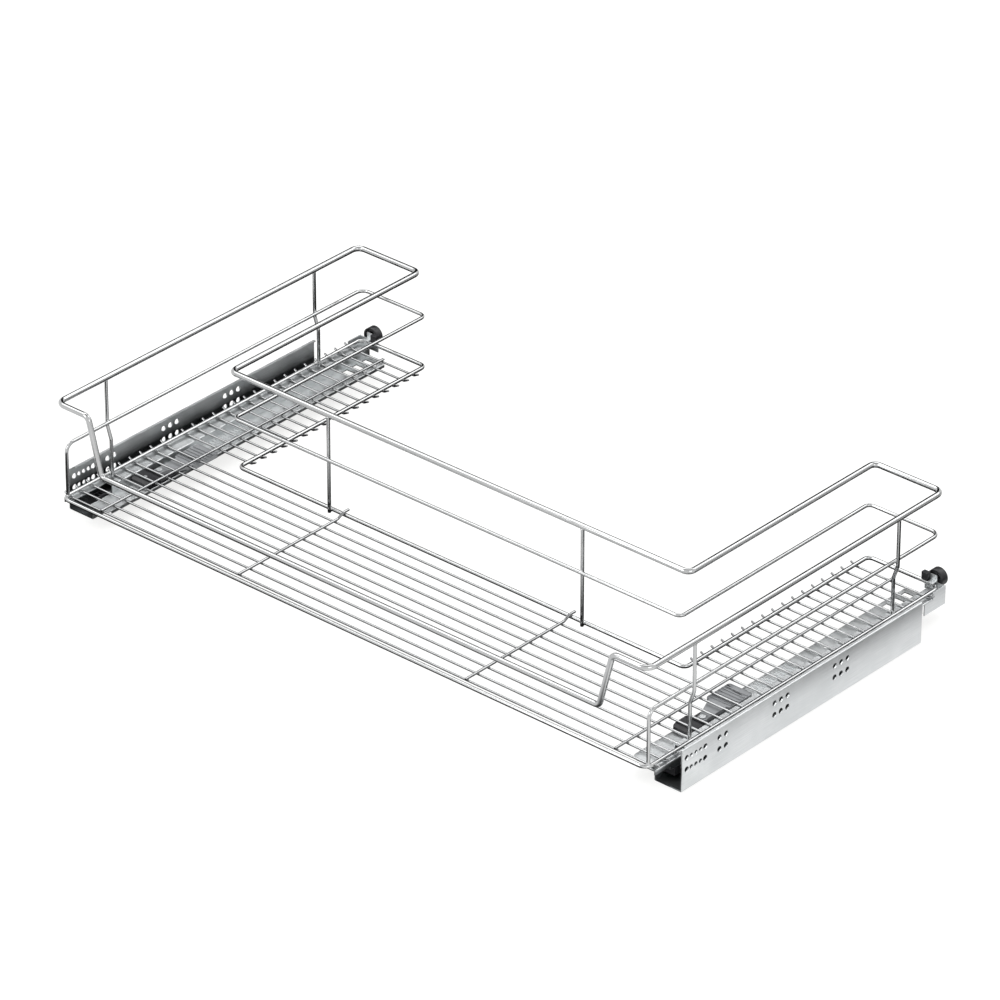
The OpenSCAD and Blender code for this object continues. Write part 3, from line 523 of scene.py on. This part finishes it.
def makeFloor(b, w):
    # long wires in front of the drain cut-out and short ones in each arm, clear of the frame's wire between
    longRows = [y for y in floorRows(b) if y < w["cutFrame"] - b["rowPitch"] / 2]
    armRows = [y for y in floorRows(b) if y > w["cutFrame"] + b["rowPitch"] / 2]
    tipTop = w["floorZ"] + b["tipRise"]
    weldZ = w["floorZ"] + dropSizes["floorUp"]

    def row(y, x0, x1):
        return ([(x0 - b["tipReach"], y, tipTop), (x0 - b["tipCorner"], y, w["floorZ"]),
                 (x1 + b["tipCorner"], y, w["floorZ"]), (x1 + b["tipReach"], y, tipTop)],
                [0, b["tipBend"], b["tipBend"], 0], False)

    def rowDrops(y, x0, x1, crossings):
        tips = [((x, y, tipTop), dropSizes["tip"]) for x in (x0 - b["tipReach"], x1 + b["tipReach"])]
        return tips + [((x, y, weldZ), dropSizes["floor"]) for x in [x0, x1] + crossings]

    across = [-w["armSupportX"], -b["supportX"], b["supportX"], w["armSupportX"]]
    drops = [d for y in longRows for d in rowDrops(y, -b["frameX"], b["frameX"], across)]
    wirePiece("frontFloorWires", "front_floor_wires", [row(y, -b["frameX"], b["frameX"]) for y in longRows],
              b["floorWire"], drops, shadedThinChromeWire)
    for side, name in ((-1, "left"), (1, "right")):
        x0, x1 = sorted((side * w["armFrame"], side * b["frameX"]))
        drops = [d for y in armRows for d in rowDrops(y, x0, x1, [side * w["armSupportX"]])]
        wirePiece(name + "FloorWires", name + "_floor_wires", [row(y, x0, x1) for y in armRows],
                  b["floorWire"], drops, shadedThinChromeWire)


def makeSupports(b, w):
    z, over, hookZ, end = w["supportZ"], w["cutFrame"], w["hookOverZ"], dropSizes["supportEnd"]
    start = b["firstRow"] - b["floorWire"]
    rise = b["frameWire"] + b["floorWire"]
    paths, drops = [], []
    for x in (-b["supportX"], b["supportX"]):
        points = [(x, start, z), (x, over - rise - b["supportRun"], z),
                  (x, over - b["frameWire"] / 2, hookZ), (x, over + b["supportPast"], hookZ)]
        paths.append((points, [0, b["supportBend"], b["supportBend"], 0], False))
        drops += [(points[0], end), (points[-1], end),
                  ((x, over, hookZ - dropSizes["hookDown"]), dropSizes["hook"])]
    wirePiece("frontSupportWires", "front_support_wires", paths, b["supportWire"], drops, shadedThinChromeWire)
    last = floorRows(b)[-1] + b["floorWire"]
    paths = [([(x, start, z), (x, last, z)], [0, 0], False) for x in (-w["armSupportX"], w["armSupportX"])]
    drops = [(point, end) for points, bends, closed in paths for point in points]
    wirePiece("armSupportWires", "arm_support_wires", paths, b["supportWire"], drops, shadedThinChromeWire)


def makePosts(b, w):
    top, foot = w["postTop"], w["postFoot"]
    stepTop = w["midZ"] - b["stepStart"]
    stepFoot = stepTop - b["stepHeight"]

    def endDrops(topX, footX, y):
        return [((topX, y, top - dropSizes["postTopDown"]), dropSizes["postTop"]),
                ((footX, y, foot), dropSizes["postFoot"])]

    for name, node, y in (("frontPosts", "front_posts", b["frontPostY"]),
                          ("rearPosts", "rear_posts", w["rearPostY"])):
        paths, drops = [], []
        for side in (-1, 1):
            x, lowX = side * w["postX"], side * w["postLowX"]
            paths.append(([(x, y, top), (x, y, stepTop), (lowX, y, stepFoot), (lowX, y, foot)],
                          [0, b["postBend"], b["postBend"], 0], False))
            drops += [((side * (w["midX"] + dropSizes["midOut"]), y, w["midZ"]), dropSizes["side"]),
                      ((side * (w["postLowX"] + dropSizes["frameOut"]), y, b["frameZ"]), dropSizes["side"])]
            drops += endDrops(x, lowX, y)
        wirePiece(name, node, paths, b["postWire"], drops)
    paths, drops = [], []
    y, out = b["frontZone"], dropSizes["innerOut"]
    for x in (-b["innerPostX"], b["innerPostX"]):
        paths.append(([(x, y, foot), (x, y, top)], [0, 0], False))
        drops += [((x, y - out, w["midZ"]), dropSizes["inner"]),
                  ((x, y + out, b["frameZ"]), dropSizes["inner"])]
        drops += endDrops(x, x, y)
    wirePiece("innerPosts", "inner_posts", paths, b["postWire"], drops)


places = wirePlaces(basket)
makeRails(basket, places)
makeFloor(basket, places)
makeSupports(basket, places)
makePosts(basket, places)
print("basket wires made")
makeFittings()
makeTongues()
print("fittings finished")


# Camera at the photograph's angle, from a fit of the wires' corners. Angles are in degrees and lengths
# in mm; "pixels" is the focal length in pixels of a picture that is "picture" pixels wide.
shot = {"turn": 41.42, "height": 29.98, "away": 6932.0, "focus": (134.2, 92.9, 200.4), "pixels": 6773.0,
        "picture": 1000, "sensor": 36.0, "sight": 60000.0}


def makeCamera():
    turn, height = math.radians(shot["turn"]), math.radians(shot["height"])
    back = Vector((math.sin(turn) * math.cos(height), -math.cos(turn) * math.cos(height), math.sin(height)))
    data = bpy.data.cameras.new("camera")
    data.sensor_width = shot["sensor"]
    data.lens = shot["pixels"] / shot["picture"] * data.sensor_width
    data.clip_end = shot["sight"] * mm
    camera = bpy.data.objects.new("camera", data)
    camera.location = at(*shot["focus"]) + back * shot["away"] * mm
    camera.rotation_euler = back.to_track_quat("Z", "Y").to_euler()
    scene.collection.objects.link(camera)
    scene.camera = camera


def stagePiece(name, corners, faces, material):
    mesh = bpy.data.meshes.new(name)
    mesh.from_pydata(corners, [], faces)
    mesh.materials.append(material)
    piece = bpy.data.objects.new(name, mesh)
    scene.collection.objects.link(piece)
    return piece


def reflectionCard(name, corners, faces, material):
    # a card that only reflections see, as photographers use to give bright metal its edges
    card = stagePiece(name, corners, faces, material)
    card.visible_camera = False
    card.visible_diffuse = False
    card.visible_shadow = False


def flatSheet(low, high, z):
    # corners and face of a level rectangle between two corners
    (x0, y0), (x1, y1) = low, high
    return [(x0, y0, z), (x1, y0, z), (x1, y1, z), (x0, y1, z)], [(0, 1, 2, 3)]


def seenDirectly(tree):
    # 1 for the camera and for reflections, 0 for the light that falls on other things
    rays = addNode(tree, "ShaderNodeLightPath").outputs
    return addNode(tree, "ShaderNodeMath", {0: rays["Is Camera Ray"], 1: rays["Is Glossy Ray"]},
                   operation="MAXIMUM").outputs[0]


# The room, in metres, as are all sizes from here on
room = {"floor": "F4F4F3", "shade": "8C8C8C", "glow": 0.9, "sky": 0.42, "size": 12.0, "drop": 0.0006}
white = (1, 1, 1, 1)


def makeFloorAndWorld():
    # the floor looks nearly white and still takes soft shadows
    material, tree = startMaterial("paleFloor")
    pale = fromHex(room["floor"])
    matte = addNode(tree, "ShaderNodeBsdfDiffuse", {"Color": pale})
    glow = addNode(tree, "ShaderNodeEmission", {"Color": pale, "Strength": room["glow"]})
    softMatte = addNode(tree, "ShaderNodeBsdfDiffuse", {"Color": fromHex(room["shade"])})
    lit = addNode(tree, "ShaderNodeAddShader", {0: glow.outputs[0], 1: softMatte.outputs[0]})
    mixed = addNode(tree, "ShaderNodeMixShader",
                    {0: seenDirectly(tree), 1: matte.outputs[0], 2: lit.outputs[0]})
    endMaterial(tree, mixed)
    size = room["size"]
    stagePiece("floor", *flatSheet((-size, -size), (size, size), -room["drop"]), material)
    # the sky looks white and lights less than it shows
    world = bpy.data.worlds.new("studio")
    world.use_nodes = True
    tree = world.node_tree
    tree.nodes.clear()
    shown = addNode(tree, "ShaderNodeBackground", {"Color": white, "Strength": 1.0})
    light = addNode(tree, "ShaderNodeBackground", {"Color": white, "Strength": room["sky"]})
    mixed = addNode(tree, "ShaderNodeMixShader",
                    {0: seenDirectly(tree), 1: light.outputs[0], 2: shown.outputs[0]})
    addNode(tree, "ShaderNodeOutputWorld", {"Surface": mixed.outputs[0]})
    scene.world = world


# Dark flags round the unit, each between two directions in degrees, give the bright wires dark edges
flags = {"colour": "0C0C0D", "away": 3.4, "panels": 6,
         "spans": {"farFlag": {"from": 108, "to": 152, "high": 3.5},
                   "sideFlag": {"from": 28, "to": 76, "high": 0.7}}}


def makeFlags():
    material, tree = startMaterial("blackFlag")
    endMaterial(tree, addNode(tree, "ShaderNodeBsdfDiffuse", {"Color": fromHex(flags["colour"])}))
    panels = flags["panels"]
    for name, span in flags["spans"].items():
        corners = []
        for i in range(panels + 1):
            turn = math.radians(span["from"] + (span["to"] - span["from"]) * i / panels)
            x, y = flags["away"] * math.cos(turn), flags["away"] * math.sin(turn)
            corners += [(x, y, 0.0), (x, y, span["high"])]
        faces = [(2 * i, 2 * i + 1, 2 * i + 3, 2 * i + 2) for i in range(panels)]
        reflectionCard(name, corners, faces, material)


# A grey card high above, so that plates and wires stand out from the floor when seen from the top
overhead = {"wide": 2.2, "high": 6.0, "glow": 0.36, "sides": 24}


def makeOverheadCard():
    material, tree = startMaterial("greyCard")
    endMaterial(tree, addNode(tree, "ShaderNodeEmission", {"Color": white, "Strength": overhead["glow"]}))
    sides = overhead["sides"]
    turns = [2 * math.pi * i / sides for i in range(sides)]
    corners = [(overhead["wide"] * math.cos(turn), overhead["wide"] * math.sin(turn), overhead["high"])
               for turn in turns]
    reflectionCard("overheadCard", corners, [tuple(range(sides))], material)


# The floor as reflections see it, with painted shade: dark up to one length of the reflected ray and white
# from another on, so that things near the floor reflect a shaded floor under and beside the unit.
# The ray's first stretch is white as well where "close" says so.
# The corner card lies on the front one.
floorCards = {"dark": 0.02, "drop": 0.0004, "cards": {
    "under": {"low": (-0.65, -0.05), "high": (0.415, 0.75), "darkTo": 0.3, "whiteFrom": 1.4},
    "front": {"low": (-0.65, -0.85), "high": (0.415, -0.0501), "darkTo": 0.08, "whiteFrom": 0.24},
    "corner": {"low": (-0.5, -0.46), "high": (-0.16, -0.3), "darkTo": 0.3, "whiteFrom": 0.5,
               "drop": 0.0002},
    "beside": {"low": (0.4151, -0.15), "high": (0.5, 0.7), "darkTo": 0.14, "whiteFrom": 0.55,
               "close": (0.06, 0.12)},
    "far": {"low": (0.5001, 0.05), "high": (1.1, 0.7), "darkTo": 0.3, "whiteFrom": 0.8}}}


def makeFloorCards():
    for name, card in floorCards["cards"].items():
        material, tree = startMaterial(name + "Card")
        length = addNode(tree, "ShaderNodeLightPath").outputs["Ray Length"]
        shade = addNode(tree, "ShaderNodeMapRange",
                        {"Value": length, "From Min": card["darkTo"], "From Max": card["whiteFrom"],
                         "To Min": floorCards["dark"], "To Max": 1.0},
                        interpolation_type="SMOOTHSTEP").outputs[0]
        if "close" in card:
            whiteTo, darkFrom = card["close"]
            close = addNode(tree, "ShaderNodeMapRange",
                            {"Value": length, "From Min": whiteTo, "From Max": darkFrom, "To Min": 1.0,
                             "To Max": 0.0})
            shade = addNode(tree, "ShaderNodeMath", {0: shade, 1: close.outputs[0]},
                            operation="MAXIMUM").outputs[0]
        # each card glows as painted shade of the floor in reflections: dark for short rays, white for long
        # ones
        endMaterial(tree, addNode(tree, "ShaderNodeEmission", {"Color": white, "Strength": shade}))
        z = -card.get("drop", floorCards["drop"])
        reflectionCard(name + "Card", *flatSheet(card["low"], card["high"], z), material)


# Soft boxes: where each stands, what it aims at, its width and depth, and its power in watts
softboxes = {
    "topBox": {"place": (0.2, 0.3, 2.6), "aim": (0, 0, 0), "sides": (2.6, 2.0), "watts": 42.0},
    "keyBox": {"place": (-1.0, -2.9, 1.9), "aim": (0, 0, 0.05), "sides": (1.4, 1.4), "watts": 24.0},
    "fillBox": {"place": (2.6, -1.0, 1.3), "aim": (0, 0, 0.05), "sides": (1.2, 1.2), "watts": 8.0},
    "leftBox": {"place": (-1.9, -0.55, 2.55), "aim": (0, 0, 0.1), "sides": (1.5, 1.5), "watts": 14.0},
    "backBox": {"place": (0.7, 2.1, 2.4), "aim": (0, 0, 0.1), "sides": (1.5, 1.5), "watts": 14.0},
    "cornerBox": {"place": (-1.25, 1.35, 2.75), "aim": (0, 0, 0.1), "sides": (1.5, 1.5), "watts": 18.0}}


def makeSoftboxes():
    for name, box in softboxes.items():
        data = bpy.data.lights.new(name, "AREA")
        data.shape = "RECTANGLE"
        data.size, data.size_y = box["sides"]
        data.energy = box["watts"]
        lamp = bpy.data.objects.new(name, data)
        lamp.location = box["place"]
        lamp.rotation_euler = (Vector(box["place"]) - Vector(box["aim"])).to_track_quat("Z", "Y").to_euler()
        lamp.visible_glossy = name != "topBox"  # reflections see the grey card overhead instead
        scene.collection.objects.link(lamp)


makeCamera()
makeFloorAndWorld()
makeFlags()
makeOverheadCard()
makeFloorCards()
makeSoftboxes()
print("camera and studio made")
